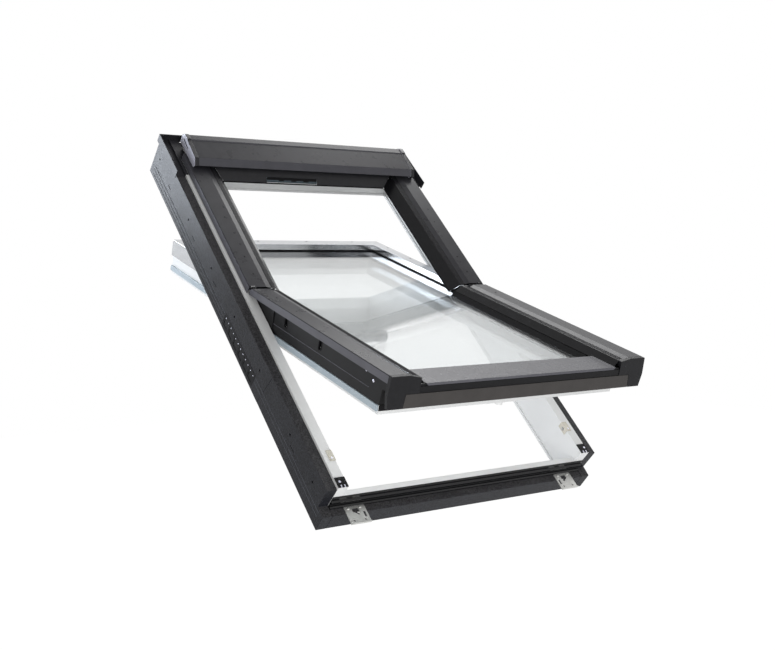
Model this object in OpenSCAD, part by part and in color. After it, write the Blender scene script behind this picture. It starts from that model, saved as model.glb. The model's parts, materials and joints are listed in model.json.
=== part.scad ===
// Centre-pivot roof window with its insulated frame, shown standing open.
// All sizes are in millimetres. x runs across the roof, s up the slope and
// n outward from the roof. n = 0 is the outward face of the insulation.

/* [Roof and pose] */
// Pitch of the roof that the window stands in
roof_pitch = 45; // [0:1:90]
// Opening angle of the sash in the drawn pose
open_angle = 28; // [0:1:150]

/* [Frame] */
// Overall width over the insulation
frame_w = 780; // [540:10:1340]
// Overall height over the insulation, along the slope
frame_h = 1180; // [780:10:1600]
// Depth of the insulation behind the white frame profile
back_t = 5; // [2:1:30]
// Width of a side insulation block
block_t = 24.8; // [18:0.2:40]
// Length of the step cut into the lower end of the insulation
step_l = 28; // [18:1:40]
// Depth of that step below the outward face
step_n = 57; // [54:1:70]
// Width of the white frame profile
pvc_t = 25; // [20:1:40]
// Depth of the white frame profile below the outward face
pvc_d = 95; // [90:1:98]
// Rise of the white frame profile above the insulation
pvc_rise = 6; // [2:0.5:7]
// Width of the head of the white frame profile
head_t = 48; // [30:1:60]
// Width of the sill of the white frame profile
sill_t = 13; // [8:1:20]
// Depth of the sill's ledge below the outward face
ledge_n = 25; // [20:1:35]
// Width of the room-side lining groove
groove_w = 8; // [4:1:10]
// Depth of the room-side lining groove
groove_d = 3; // [1:0.5:6]
// Place of the seam in a side block, from the middle of the frame
seam_s = -246; // [-300:1:-210]
// Lean of that seam over the block's depth
seam_lean = 12; // [0:1:20]

/* [Covers] */
// Height of the cover tops above the insulation
cov_n = 27.7; // [24:0.1:34]
// Sheet thickness of the covers
sheet = 1.6; // [1:0.1:2]
// How far the side covers reach outward over the white profile
cov_lap = 18; // [14:1:22]
// Width of the flat top of a side cover
cov_flat = 45; // [30:1:60]
// Width of the sloped strip beside that flat
cov_slope = 15; // [8:1:20]
// Width of the ribbed band inside the slope
cov_band = 15; // [10:1:20]
// Drop of the slope
slope_drop = 4; // [2:0.5:8]
// Drop of the ribbed band
band_drop = 2; // [1:0.5:4]
// Reach of the inner leg toward the glass
leg_w = 24; // [10:1:30]
// Height of the skirt of a sash cover
skirt = 18; // [12:1:19]
// Bevel along the outer top edge of a cover
edge = 1.5; // [0.5:0.1:2]

/* [Hood] */
// Height of the hood above the cover tops
hood_rise = 32; // [20:1:50]
// Length of the hood's main slope
hood_slope = 66; // [40:1:90]
// Length of the hood's small top flat
hood_flat = 20; // [10:1:30]
// Drop of the hood's front slope
hood_front = 15; // [8:1:20]
// Width of a hood end cap
hood_cap = 12; // [8:1:20]
// Height of the corner channel's flange
chan_h = 22; // [10:1:24]
// Length of the corner channel
chan_l = 152; // [100:1:200]
// How far the corner channel stands outside the insulation
chan_out = 6; // [3:0.5:10]

/* [Sash] */
// Pivot axis above the middle of the frame
piv_s = 10.4; // [0:0.1:30]
// Pivot axis below the cover tops
piv_drop = 4; // [3.5:0.1:5]
// Gap between the sash shell and the reveal
sash_gap = 3.5; // [2.5:0.1:6]
// Gap between the side seal and the reveal
seal_gap = 1.6; // [1.5:0.1:2.4]
// Clearance of the sash past the sill when it swings
swing_gap = 5; // [3:0.5:10]
// Gap between the sash and the head
top_gap = 7.6; // [4:0.2:15]
// Reach of the front panel past the lower end of the frame
front_over = 6.6; // [4:0.2:12]
// Depth of the glass below the cover tops
glass_n = 34; // [32:0.5:37]
// Thickness of one pane
pane_t = 4; // [3:0.5:6]
// Space between the panes
pane_gap = 16; // [12:1:18]
// Depth of the sash below the cover tops
sash_d = 105; // [100:1:108]
// Wall of the dark sash shell
shell_t = 3; // [2:0.5:3.5]
// Width of a sash rail over the glass
rail_w = 38.5; // [30:0.5:44]
// Depth of the dark shell's outer wall below the cover tops
shell_d = 83; // [78:1:84]
// Width of the sash profile on the room side
prof_w = 61; // [50:1:70]
// Width of the bottom cover along the slope
strip_w = 78; // [60:1:84]
// Depth of the bottom cover below the cover tops
strip_n = 19; // [14:1:20]
// Height of the front panel
panel_h = 30; // [20:1:32]
// Length of a sash end cap
cap_t = 10; // [6:1:14]

/* [Hinges and locks] */
// Radius of the pivot pins
pin_r = 3; // [2.5:0.1:3.4]
// Radial clearance of a pivot pin in its eye
pin_gap = 0.05; // [0.03:0.01:0.1]
// Wall of a hinge eye
eye_wall = 1.95; // [1.5:0.05:2.2]
// Length of a hinge plate along the slope
hinge_l = 100; // [70:1:140]
// Distance of the lock bolts from the lower end of the frame
lock_up = 112; // [100:1:160]
// Depth of the lock bolts below the cover tops
lock_n = 29; // [27:0.5:30]
// Radius of a lock bolt
bolt_r = 4; // [3:0.1:4.5]
// Travel of a lock bolt
bolt_travel = 9; // [6:0.5:10]
// Length of a striker plate
striker_l = 28; // [22:1:40]
// Length of the handle's lever from its axis
lever_l = 112; // [80:1:130]
// Radius of the pinion that drives the lock bars
pinion_r = 5.4; // [5:0.1:6]

/* [Hidden] */
$fn = 48;
fit = 0.2;
half_w = frame_w / 2;
half_h = frame_h / 2;
block_d = pvc_d + back_t;
x_block = half_w - block_t;
x_pvc = x_block - fit;
x_rev = x_pvc - pvc_t;
s_low = -half_h + step_l;
s_sill = s_low + sill_t;
s_head_o = half_h - 28;
s_head = s_head_o - head_t;
x_cov = x_rev + cov_lap;
x_slope = x_cov - cov_flat;
x_band = x_slope - cov_slope;
x_leg = x_band - cov_band;
x_glass = x_leg - leg_w;
mouth_n = slope_drop + band_drop;
leg_n = glass_n - 4;
foot_n = leg_n + 1.3;
leg_lean = leg_w / (leg_n - mouth_n);
sash_leg = glass_n - 12;
cov_pts = [[x_cov, -edge], [x_cov - edge, 0], [x_slope, 0], [x_band, -slope_drop], [x_leg, -mouth_n]];
piv_n = cov_n - piv_drop;
x_shell = x_rev - sash_gap;
x_seal = x_rev - seal_gap;
x_prof = x_shell - shell_t - fit;
x_pane = x_shell - 18;
x_rail = x_shell - rail_w;
unit_n = glass_n + 2 * pane_t + pane_gap;
sash_end = sqrt(pow(piv_s - s_sill - swing_gap, 2) + pow(piv_n + ledge_n, 2) - pow(sash_d - piv_drop, 2));
sash_top = s_head - piv_s - top_gap;
front = half_h + piv_s + front_over;
strip_back = front - strip_w;
pane_low = strip_back - 6;
pane_top = sash_top - 16;
rail_n = 14;
rail_top = sash_top - rail_w - 4;
gear_s = pane_low + 11;
rack_s = pinion_r + 0.3 + 2.5;
lock_s = half_h + piv_s - lock_up;
panel_n = strip_n + 21;
seal_h = 14;
plate_t = 2;
shell_head = 3.4;
shell_rise = 0.8;
small_head = 2.2;
small_rise = 0.7;
rail_screw = 120;
eye_r = pin_r + pin_gap + eye_wall;
hinge_cut = eye_r + 1.5;
seam_gap = 0.4;
chan_s = half_h + 3;
chan_in = 40;
hood_s = s_head_o - 4;
h_top = cov_n + hood_rise;
hood_edge = hood_s - 12 - hood_flat;
hood_fold = hood_edge - hood_slope;
hood_lip = hood_fold - hood_front;
hood_pts = [[hood_s, pvc_rise + 0.5], [hood_s, h_top - 9], [hood_s - 10, h_top - 1], [hood_edge + 2, h_top],
            [hood_edge, h_top - 2], [hood_fold, h_top - 6], [hood_lip, h_top - 6 - hood_front],
            [hood_lip + 8, h_top - 10 - hood_front]];
x_hood = x_cov - 7;
head_leg = hood_lip - 6;
head_pts = [[s_head + 8, cov_n - 6], [head_leg + leg_w + 3, cov_n - 6],
            [head_leg, cov_n - leg_n]];

// Part to draw

function dir(a, b) = (b - a) / norm(b - a);
function nrm(d) = [d[1], -d[0]];
function off_pt(p, i, t) =
    i == 0 ? p[0] + t * nrm(dir(p[0], p[1])) :
    i == len(p) - 1 ? p[i] + t * nrm(dir(p[i - 1], p[i])) :
    let (m = nrm(dir(p[i - 1], p[i])) + nrm(dir(p[i], p[i + 1]))) p[i] + t * m * 2 / (m * m);
// Outline of a bent sheet of thickness t beside the path p
function bent(p, t) = concat(p, [for (i = [len(p) - 1 : -1 : 0]) off_pt(p, i, t)]);

module in_frame() rotate([roof_pitch, 0, 0]) children();
module in_sash()
    rotate([roof_pitch, 0, 0])
        translate([0, piv_s, piv_n])
            rotate([-open_angle, 0, 0])
                translate([0, 0, piv_drop])
                    children();
// A profile in (x, n) drawn along the slope from a to b
module along_s(a, b) translate([0, b, 0]) rotate([90, 0, 0]) linear_extrude(b - a) children();
// A profile in (s, n) drawn across the roof from a to b
module along_x(a, b) translate([a, 0, 0]) rotate([90, 0, 90]) linear_extrude(b - a) children();
module box(a, b) translate(a) cube(b - a);
module left() mirror([1, 0, 0]) children();
module both() {
    children();
    mirror([1, 0, 0]) children();
}
// A round bar across the roof at (s, n)
module rod_x(s, n, r, a, b) translate([a, s, n]) rotate([0, 90, 0]) cylinder(r = r, h = b - a);
// A round bar outward from the roof at (x, s)
module rod_n(x, s, r, a, b) translate([x, s, a]) cylinder(r = r, h = b - a);

groove_n = pvc_d - 6 - groove_w;
// White ring of the frame
module frame_profile() color([0.93, 0.94, 0.94]) in_frame() difference() {
    union() {
        both() box([x_rev, s_low, -pvc_d], [x_pvc, s_head_o, pvc_rise]);
        box([-x_rev - 1, s_head, -pvc_d], [x_rev + 1, s_head_o, pvc_rise]);
        box([-x_rev - 1, s_low, -pvc_d], [x_rev + 1, s_sill, -ledge_n]);
    }
    box([-x_rev - groove_d, s_sill - groove_d, -groove_n - groove_w],
        [x_rev + groove_d, s_head + groove_d, -groove_n]);
    both() rod_x(piv_s - lock_s, cov_n - lock_n, bolt_r + 0.8, x_rev - 1, x_rev + bolt_travel + 3);
}

top_holes = [half_h - 33, half_h - 272];
mid_holes = [141, -25, -195];
low_holes = [-half_h + 207, -half_h + 78];
block_slots = [half_h - 127, 265, 102, -half_h + 180];
hole_n = 35;
hole_r = 3.2;
hole_d = 8;
slot_l = 20;
plate_s = [-190, 10];
plate_n = [-block_d + 5, -block_d + 40];

// Holes, slots and fine grooves in the outer face of a side block
module block_marks() {
    for (s = concat(top_holes, mid_holes, low_holes)) rod_x(s, -hole_n, hole_r, half_w - hole_d, half_w + 1);
    for (s = block_slots)
        box([half_w - 2, s - slot_l / 2, -block_d / 2 - 2], [half_w + 1, s + slot_l / 2, -block_d / 2 + 0.5]);
    for (n = [9, 20, 32])
        box([half_w - 1.2, plate_s[1] + 6, -block_d + n], [half_w + 1, half_h - 24, -block_d + n + 1.6]);
    box([half_w - 1.8, plate_s[0], plate_n[0]], [half_w + 1, plate_s[1], plate_n[1]]);
}
module block_upper() difference() {
    along_x(x_block, half_w)
        polygon([[half_h, 0], [half_h, -block_d], [seam_s + seam_lean, -block_d], [seam_s, 0]]);
    block_marks();
}
module block_lower() difference() {
    along_x(x_block, half_w)
        polygon([[seam_s - seam_gap, 0], [seam_s + seam_lean - seam_gap, -block_d], [-half_h, -block_d],
                 [-half_h + 1.4, -step_n], [s_low, -step_n + 1.5], [s_low, 0]]);
    block_marks();
}
module insulation_right_upper() color([0.16, 0.16, 0.17]) in_frame() block_upper();
module insulation_right_lower() color([0.16, 0.16, 0.17]) in_frame() block_lower();
module insulation_left_upper() color([0.16, 0.16, 0.17]) in_frame() left() block_upper();
module insulation_left_lower() color([0.16, 0.16, 0.17]) in_frame() left() block_lower();
module insulation_top() color([0.16, 0.16, 0.17]) in_frame()
    box([-x_pvc, s_head_o, -block_d], [x_pvc, half_h, 0]);
module insulation_bottom() color([0.16, 0.16, 0.17]) in_frame()
    along_x(-x_pvc, x_pvc)
        polygon([[s_low, -step_n], [s_low, -pvc_d], [s_sill, -pvc_d], [s_sill, -block_d],
                 [-half_h, -block_d], [-half_h + 1.4, -step_n]]);

cells = 6;
cell_p = (plate_s[1] - plate_s[0]) / cells;
// Plate with shallow cells, let into the side insulation
module plate() difference() {
    box([half_w - 1.8, plate_s[0] + 0.3, plate_n[0] + 0.3], [half_w, plate_s[1] - 0.3, plate_n[1] - 0.3]);
    for (i = [0 : cells - 1]) {
        box([half_w - 0.9, plate_s[0] + (i + 0.16) * cell_p, plate_n[0] + 6],
            [half_w + 1, plate_s[0] + (i + 0.84) * cell_p, plate_n[0] + 21]);
        for (k = [0.25, 0.75])
            rod_x(plate_s[0] + (i + k) * cell_p, plate_n[1] - 8, 1.9, half_w - 1, half_w + 1);
    }
}
module fixing_plate_right() color([0.2, 0.2, 0.21]) in_frame() plate();
module fixing_plate_left() color([0.2, 0.2, 0.21]) in_frame() left() plate();
module fixing_rivets() color([0.8, 0.8, 0.82]) in_frame() both()
    for (i = [0 : cells - 1], k = [0.25, 0.75])
        rod_x(plate_s[0] + (i + k) * cell_p, plate_n[1] - 8, 1.7, half_w - 1, half_w + 0.3);

// Place of the inner leg's face at the depth d
function leg_at(d) = [x_leg - leg_lean * (d - mouth_n), -d];
// Path of a side cover from its outer skirt to the foot of its inner leg
function cover_path(h, foot) = concat([[x_cov, -h]], cov_pts, [leg_at(foot)]);
module frame_cover() difference() {
    translate([0, 0, cov_n]) along_s(piv_s + 1, s_head - 6)
        polygon(bent(cover_path(cov_n - pvc_rise - 1.5, leg_n), -sheet));
    rod_x(piv_s, piv_n, hinge_cut, x_rev + 0.5, x_cov - sheet - 0.2);
    box([x_glass - 3, rail_top + piv_s - 6, cov_n - leg_n - 3], [x_leg + 3, s_head, cov_n - rail_n + 2]);
}
module frame_cover_right() color([0.29, 0.29, 0.31]) in_frame() frame_cover();
module frame_cover_left() color([0.29, 0.29, 0.31]) in_frame() left() frame_cover();
// Soft strips at the feet of the inner legs
gask = [[x_glass, -foot_n], [x_glass + 2.2, -foot_n], [x_glass + 2.2, -glass_n + 0.3],
        [x_glass - 0.6, -glass_n + 0.3]];
module frame_cover_gasket() color([0.05, 0.05, 0.05]) in_frame() {
    both() translate([0, 0, cov_n]) along_s(piv_s + 1, head_leg - 3) polygon(gask);
    along_x(-x_glass + 1, x_glass - 1)
        polygon([[head_leg, cov_n - foot_n], [head_leg + 2.2, cov_n - foot_n],
                 [head_leg + 2.2, cov_n - glass_n + 0.3], [head_leg - 0.6, cov_n - glass_n + 0.3]]);
}
screw_at = [46, 106, 250];
module frame_cover_screws() color([0.2, 0.2, 0.21]) in_frame() both()
    for (s = screw_at) rod_n(x_cov - 28, piv_s + s, 2.2, cov_n, cov_n + 0.7);

// Room between the inner legs of two side covers
x_foot = x_glass - 0.6 - 4 * leg_lean;
x_mouth = x_leg - 0.6;
module between_legs()
    polygon([[-x_foot, -leg_n - 4], [x_foot, -leg_n - 4], [x_mouth, -mouth_n], [-x_mouth, -mouth_n]]);
// Sheet hood across the head
module hood() color([0.3, 0.3, 0.32]) in_frame()
    along_x(-x_hood + hood_cap + 0.3, x_hood - hood_cap - 0.3) polygon(bent(hood_pts, -sheet));
module hood_end() difference() {
    along_x(x_hood - hood_cap, x_hood)
        polygon([[hood_s + 1, cov_n + 0.6], [hood_s + 1, h_top - 8.5], [hood_s - 9, h_top + 0.2],
                 [hood_s - 14, h_top + 2], [hood_edge + 1, h_top + 2], [hood_edge - 1, h_top - 1],
                 [hood_fold - 1, h_top - 5], [hood_lip - 1, h_top - 6 - hood_front],
                 [hood_lip + 6, cov_n + 0.6]]);
    along_x(x_hood - 6, x_hood + 1)
        polygon([[hood_s - 14, h_top - 10], [hood_s - 48, h_top - 14], [hood_s - 48, h_top - 18],
                 [hood_s - 14, h_top - 14]]);
}
module hood_cap_right() color([0.3, 0.3, 0.32]) in_frame() hood_end();
module hood_cap_left() color([0.3, 0.3, 0.32]) in_frame() left() hood_end();
notch_x = [-128, 32];
function strip_at(d) = cov_n - leg_n + d * (leg_n - 6) / (leg_w + 3);
// Black strip that closes the head under the hood
module head_strip() color([0.08, 0.08, 0.09]) in_frame() difference() {
    intersection() {
        along_x(-x_leg, x_leg) polygon(bent(head_pts, -sheet));
        along_s(head_leg - 10, s_head + 20)
            translate([0, cov_n]) between_legs();
    }
    box([notch_x[0], head_leg - 5, cov_n - leg_n - 5], [notch_x[1], head_leg + 12, cov_n - leg_n + 13]);
}
// Catch plate in the notch of the head strip
module head_catch() color([0.28, 0.32, 0.35]) in_frame()
    along_x(notch_x[0] + 0.5, notch_x[1] - 0.5)
        polygon([[head_leg + 3, strip_at(3) - 0.8], [head_leg + 11.6, strip_at(11.6) - 0.8],
                 [head_leg + 11.6, strip_at(11.6) - 3.2], [head_leg + 3, strip_at(3) - 3.2]]);
module channel() {
    box([half_w + chan_out - 2, chan_s - chan_l, -1], [half_w + chan_out, chan_s, chan_h]);
    box([x_block + 0.1, chan_s - chan_l + 6, 0], [half_w + chan_out - 2, chan_s, 1.6]);
    box([x_block + 0.1, chan_s - chan_l + 6, 0], [x_block + 1.7, chan_s, pvc_rise + 1.8]);
    box([x_cov + 0.6, chan_s - chan_l + 6, pvc_rise + 0.2], [x_block + 1.7, chan_s, pvc_rise + 1.8]);
    box([x_hood - hood_cap + 0.2, s_head - 5.4, pvc_rise + 0.2], [x_block + 1.7, chan_s, pvc_rise + 1.8]);
    box([x_rev - chan_in, chan_s - 1.6, 0], [half_w + chan_out - 2, chan_s, chan_h]);
}
module corner_channel_right() color([0.24, 0.24, 0.26]) in_frame() channel();
module corner_channel_left() color([0.24, 0.24, 0.26]) in_frame() left() channel();

// Black ridged profile in front of the sill
module sill_profile() color([0.07, 0.07, 0.08]) in_frame()
    along_x(-x_pvc, x_pvc)
        polygon([[s_low, -ledge_n], [s_low, -step_n], [s_low - 10, -step_n], [s_low - 10, -step_n + 4],
                 [s_low - 7, -step_n + 6], [s_low - 3, -step_n + 6], [s_low - 3, -ledge_n - 20],
                 [s_low - 6, -ledge_n - 18], [s_low - 6, -ledge_n - 14], [s_low - 3, -ledge_n - 12],
                 [s_low - 3, -ledge_n - 2]]);
brk_in = 9;
brk_w = 52;
brk = [x_rev - brk_in - brk_w, x_rev - brk_in];
brk_end = -half_h - 27;
hole_s = brk_end + 9;
// Galvanised plate that is screwed to the roof
module bracket() translate([0, 0, -step_n]) difference() {
    union() {
        box([brk[0], brk_end, 0], [brk[1], s_low - 10, 2]);
        box([brk[0], brk_end, 0], [brk[1], brk_end + 2, 5]);
    }
    rod_n(brk[0] + 12, hole_s, 2.6, -1, 3);
    rod_n(brk[1] - 12, hole_s, 2.6, -1, 3);
    box([brk[0] + 18, s_low - 26, -1], [brk[0] + 34, s_low - 16, 3]);
    translate([brk[0] + 22, -half_h - 6, -1]) rotate([0, 0, 40]) cube([18, 5, 4]);
    box([brk[0] + 5, -half_h - 12, -1], [brk[0] + 10, -half_h + 2, 3]);
}
module bracket_right() color([0.72, 0.72, 0.7]) in_frame() bracket();
module bracket_left() color([0.72, 0.72, 0.7]) in_frame() left() bracket();
module bracket_screws() color([0.62, 0.62, 0.6]) in_frame() both()
    for (x = [brk[0] + 12, brk[1] - 10]) rod_n(x, s_low - 15.5, 3.4, -step_n + 2, -step_n + 3.8);

lock_f = piv_s - lock_s;
// Angle plate that takes the lock bolt
module striker() difference() {
    union() {
        box([x_rev, lock_f - striker_l / 2, pvc_rise],
            [x_rev + 14, lock_f + striker_l / 2, pvc_rise + 1.5]);
        box([x_rev - 1, lock_f - striker_l / 2, -8], [x_rev, lock_f + striker_l / 2, pvc_rise + 1.5]);
    }
    rod_x(lock_f, cov_n - lock_n, bolt_r + 0.8, x_rev - 3, x_rev + 1);
}
module striker_right() color([0.74, 0.72, 0.66]) in_frame() striker();
module striker_left() color([0.74, 0.72, 0.66]) in_frame() left() striker();
module striker_screws() color([0.45, 0.44, 0.42]) in_frame() both()
    rod_n(x_rev + 7, lock_f - striker_l / 2 + 7, 2.6, pvc_rise + 1.5, pvc_rise + 2.3);
module corner() difference() {
    box([x_rev, s_low, pvc_rise], [x_pvc, s_low + 26, pvc_rise + 2.5]);
    for (x = [x_rev + 6, x_rev + 15]) box([x, s_low - 1, pvc_rise - 1], [x + 4, s_low + 7, pvc_rise + 4]);
}
module corner_piece_right() color([0.07, 0.07, 0.07]) in_frame() corner();
module corner_piece_left() color([0.07, 0.07, 0.07]) in_frame() left() corner();
module corner_fasteners() color([0.7, 0.7, 0.7]) in_frame() both() {
    rod_n(x_rev + 17, s_low + 14, 2.8, pvc_rise + 2.5, pvc_rise + 3.2);
    for (x = [x_rev + 6.6, x_rev + 15.6])
        box([x, s_low + 0.5, pvc_rise], [x + 2.8, s_low + 6.4, pvc_rise + 2]);
}

x_eye = x_rev + 2;
eye_l = 8;
// Frame half of a pivot hinge, with its pin
module frame_hinge() {
    along_x(x_eye + eye_l + 1, x_eye + eye_l + 5)
        polygon([[piv_s, piv_n - 3.6], [piv_s + 14, pvc_rise], [piv_s + hinge_l, pvc_rise],
                 [piv_s + hinge_l, cov_n - 8],
                 [piv_s + 20, cov_n - 3.5], [piv_s, piv_n + 2]]);
    rod_x(piv_s, piv_n, pin_r + 0.8, x_eye + eye_l + 1, x_eye + eye_l + 5);
    rod_x(piv_s, piv_n, pin_r, x_eye + 0.6, x_eye + eye_l + 2);
    box([x_rev + 1, piv_s + 16, pvc_rise], [x_eye + eye_l + 5, piv_s + hinge_l, pvc_rise + 3]);
}
module frame_hinge_right() color([0.2, 0.2, 0.21]) in_frame() frame_hinge();
module frame_hinge_left() color([0.2, 0.2, 0.21]) in_frame() left() frame_hinge();

// Sash half of a pivot hinge, with its eye
module sash_hinge() difference() {
    union() {
        along_x(x_eye, x_eye + 4)
            polygon([[-hinge_l, -skirt], [-hinge_l, -9], [-26, -4.2], [-15, -9], [-6.5, -piv_drop - 5.4],
                     [-2.5, -piv_drop - 4], [3, -piv_drop - 3], [0, -skirt]]);
        rod_x(0, -piv_drop, eye_r, x_eye, x_eye + eye_l);
        box([x_rail + 3, -hinge_l, -skirt], [x_eye + 4, -12, -skirt + 3]);
    }
    rod_x(0, -piv_drop, pin_r + pin_gap, x_eye - 1, x_eye + eye_l + 1);
}
module sash_hinge_right() color([0.22, 0.22, 0.23]) in_sash() sash_hinge();
module sash_hinge_left() color([0.22, 0.22, 0.23]) in_sash() left() sash_hinge();

// White ring of the sash
module sash_profile() color([0.94, 0.95, 0.95]) in_sash() difference() {
    box([-x_prof, -sash_end, -sash_d], [x_prof, sash_top - 4, -unit_n]);
    box([-x_prof + prof_w, -sash_end + prof_w - 6, -sash_d - 1],
        [x_prof - prof_w, sash_top - 4 - prof_w, -unit_n + 1]);
    rod_n(0, -gear_s, 5, -sash_d - 1, -unit_n + 1);
}
// Bright rails that hold the upper half of the glass
module sash_upper_rails() color([0.85, 0.86, 0.87]) in_sash() difference() {
    box([-x_shell, 3, -unit_n], [x_shell, sash_top, -rail_n]);
    box([-x_rail, 2, -unit_n - 1], [x_rail, rail_top, 0]);
    both() box([x_rail + shell_t, 2, -unit_n - 1],
               [x_shell - shell_t, sash_top - shell_t, -rail_n - shell_t]);
    box([-x_shell + shell_t, rail_top + shell_t, -unit_n - 1],
        [x_shell - shell_t, sash_top - shell_t, -rail_n - shell_t]);
    box([-x_pane - 0.5, 2, -unit_n - 1], [x_pane + 0.5, pane_top + 0.5, -glass_n]);
}
// Dark shell on the side of the lower sash half
module side_shell() difference() {
    intersection() {
        along_s(-front + cap_t + 0.2, -3)
            polygon(bent([[x_shell, -shell_d], [x_shell, -skirt], [x_rail, -skirt], [x_rail, -glass_n]],
                         -shell_t));
        along_x(0, half_w)
            polygon([[0, 0], [0, -shell_d], [-sash_end - 3, -shell_d], [-sash_end - 7, -48],
                     [-front + cap_t, -42],
                     [-front + cap_t, 0]]);
    }
    box([x_rail - 1, -front, -glass_n - 1], [x_shell - shell_t - 1, -strip_back + 8, -skirt - shell_t]);
    rod_x(-lock_s, -lock_n, bolt_r + 0.6, x_shell - shell_t - 1, x_shell + 1);
    box([x_shell - shell_t - 1, -front + cap_t + 2, -38], [x_shell + 1, -front + cap_t + 26, -skirt - 4]);
    for (s = [-153, -307]) {
        rod_x(s, -46, 4.5, x_shell - shell_t - 1, x_shell + 1);
        box([x_shell - shell_t - 1, s - 4.5, -46], [x_shell + 1, s + 4.5, -skirt - 6]);
    }
}
module sash_shell_right() color([0.19, 0.19, 0.2]) in_sash() side_shell();
module sash_shell_left() color([0.19, 0.19, 0.2]) in_sash() left() side_shell();
// Dark shell behind the front panel, with its soffit
module sash_bottom_shell() color([0.12, 0.12, 0.13]) in_sash() {
    along_x(-x_glass + 3, x_glass - 3)
        polygon([[-strip_back - 1, -strip_n - sheet - 0.4], [-front + 5.5, -strip_n - sheet - 0.4],
                 [-front + 5.5, -strip_n - sheet - 3], [-strip_back - 1, -strip_n - sheet - 3]]);
    box([-x_prof + 4, -front + 3.2, -panel_n - panel_h + 1],
        [x_prof - 4, -front + 6, -strip_n - sheet - 0.4]);
    box([-x_prof + 4, -front + 5, -49], [x_prof - 4, -sash_end, -46.5]);
}
module pane(a, b) box([-x_pane, -pane_low, -b], [x_pane, pane_top, -a]);
module glass_outer() color([0.8, 0.88, 0.9, 0.35]) in_sash() pane(glass_n, glass_n + pane_t);
module glass_inner() color([0.8, 0.88, 0.9, 0.35]) in_sash() pane(unit_n - pane_t, unit_n);
module glass_spacer() color([0.7, 0.71, 0.72]) in_sash() difference() {
    box([-x_pane + 1, -pane_low + 1, -unit_n + pane_t], [x_pane - 1, pane_top - 1, -glass_n - pane_t]);
    box([-x_pane + 23, -pane_low + 14, -unit_n], [x_pane - 23, pane_top - 30, -glass_n]);
}
// Black strips beside the bright rails on the glass
module glazing_gasket() color([0.04, 0.04, 0.04]) in_sash() {
    both() box([x_rail - 3, 3, -glass_n], [x_rail, rail_top, -glass_n + 3]);
    box([-x_rail, rail_top - 3, -glass_n], [x_rail, rail_top, -glass_n + 3]);
}
ramp_l = 16;
// Cover of the lower sash side, ramped down toward the pivot
module sash_cover() difference() {
    union() {
        difference() {
            along_s(-front + cap_t, -2) polygon(bent(cover_path(skirt, sash_leg), -sheet));
            along_x(0, half_w) polygon([[-ramp_l, 0], [-1.5, -ramp_l / 2 - 0.3], [0, 1], [-ramp_l, 1]]);
        }
        along_x(x_band, x_cov - 0.1)
            polygon(bent([[-ramp_l - 1, 0], [-ramp_l, 0], [-2, -ramp_l / 2]], sheet));
    }
    rod_x(0, -piv_drop, hinge_cut, x_rev + 0.5, x_cov - sheet - 0.2);
}
module sash_cover_right() color([0.29, 0.29, 0.31]) in_sash() sash_cover();
module sash_cover_left() color([0.29, 0.29, 0.31]) in_sash() left() sash_cover();
module sash_cover_gasket() color([0.05, 0.05, 0.05]) in_sash() {
    both() along_s(-strip_back + 16, -1.5)
        polygon([leg_at(sash_leg + 1.4), leg_at(glass_n), leg_at(glass_n) + [4, 0],
                 leg_at(sash_leg + 1.4) + [3, 0]]);
    along_x(-x_glass + 1, x_glass - 1)
        polygon([[-strip_back + 14, -foot_n], [-strip_back + 11.5, -foot_n], [-strip_back + 11.5, -glass_n],
                 [-strip_back + 14.6, -glass_n]]);
}
// Wide strip below the glass
module bottom_cover() color([0.36, 0.36, 0.38]) in_sash() intersection() {
    along_x(-x_leg, x_leg)
        polygon(bent([[-front + 1, -strip_n - 6], [-front + 1, -strip_n], [-strip_back, -strip_n],
                      [-strip_back + 14, -leg_n]], sheet));
    along_s(-front - 1, -strip_back + 40)
        between_legs();
}
module recess_strip() color([0.06, 0.06, 0.07]) in_sash()
    box([-x_leg + 1, -front + 1.2, -panel_n + 0.6], [x_leg - 1, -front + 3.2, -strip_n - sheet - 5]);
module front_panel() color([0.27, 0.26, 0.25]) in_sash()
    along_s(-front, -front + 3)
        polygon([[-x_slope - 2, -panel_n], [x_slope + 2, -panel_n], [x_slope + 6, -panel_n - panel_h],
                 [-x_slope - 6, -panel_n - panel_h]]);
// Black plastic end of a sash side cover
module end_cap() difference() {
    along_s(-front, -front + cap_t - 0.2)
        polygon([[x_cov, -edge], [x_cov - edge, 0], [x_slope, 0], [x_leg, -slope_drop - band_drop],
                 [x_leg, -panel_n + 0.6], [x_slope + 2.4, -panel_n + 0.6],
                 [x_slope + 6.6, -panel_n - panel_h], [x_cov - 2, -panel_n - panel_h],
                 [x_cov + 3, -panel_n]]);
    box([x_leg - 1, -front + 1, -panel_n - panel_h - 1], [x_prof - 3, -front + cap_t, -strip_n]);
}
module end_cap_right() color([0.12, 0.12, 0.12]) in_sash() end_cap();
module end_cap_left() color([0.12, 0.12, 0.12]) in_sash() left() end_cap();
module side_seals() color([0.66, 0.71, 0.75]) in_sash() both()
    box([x_prof, -sash_end + 1, -shell_d - 1 - seal_h], [x_seal, sash_top - 6, -shell_d - 1]);
module bottom_seal() color([0.05, 0.05, 0.05]) in_sash()
    box([-x_prof, -sash_end - 2.5, -shell_d - seal_h], [x_prof, -sash_end, -shell_d]);
module hinge_side_plates() color([0.06, 0.06, 0.06]) in_sash() both()
    box([x_shell, -hinge_l + 4, -shell_d + 5], [x_shell + plate_t, -8, -skirt - 8]);
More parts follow.
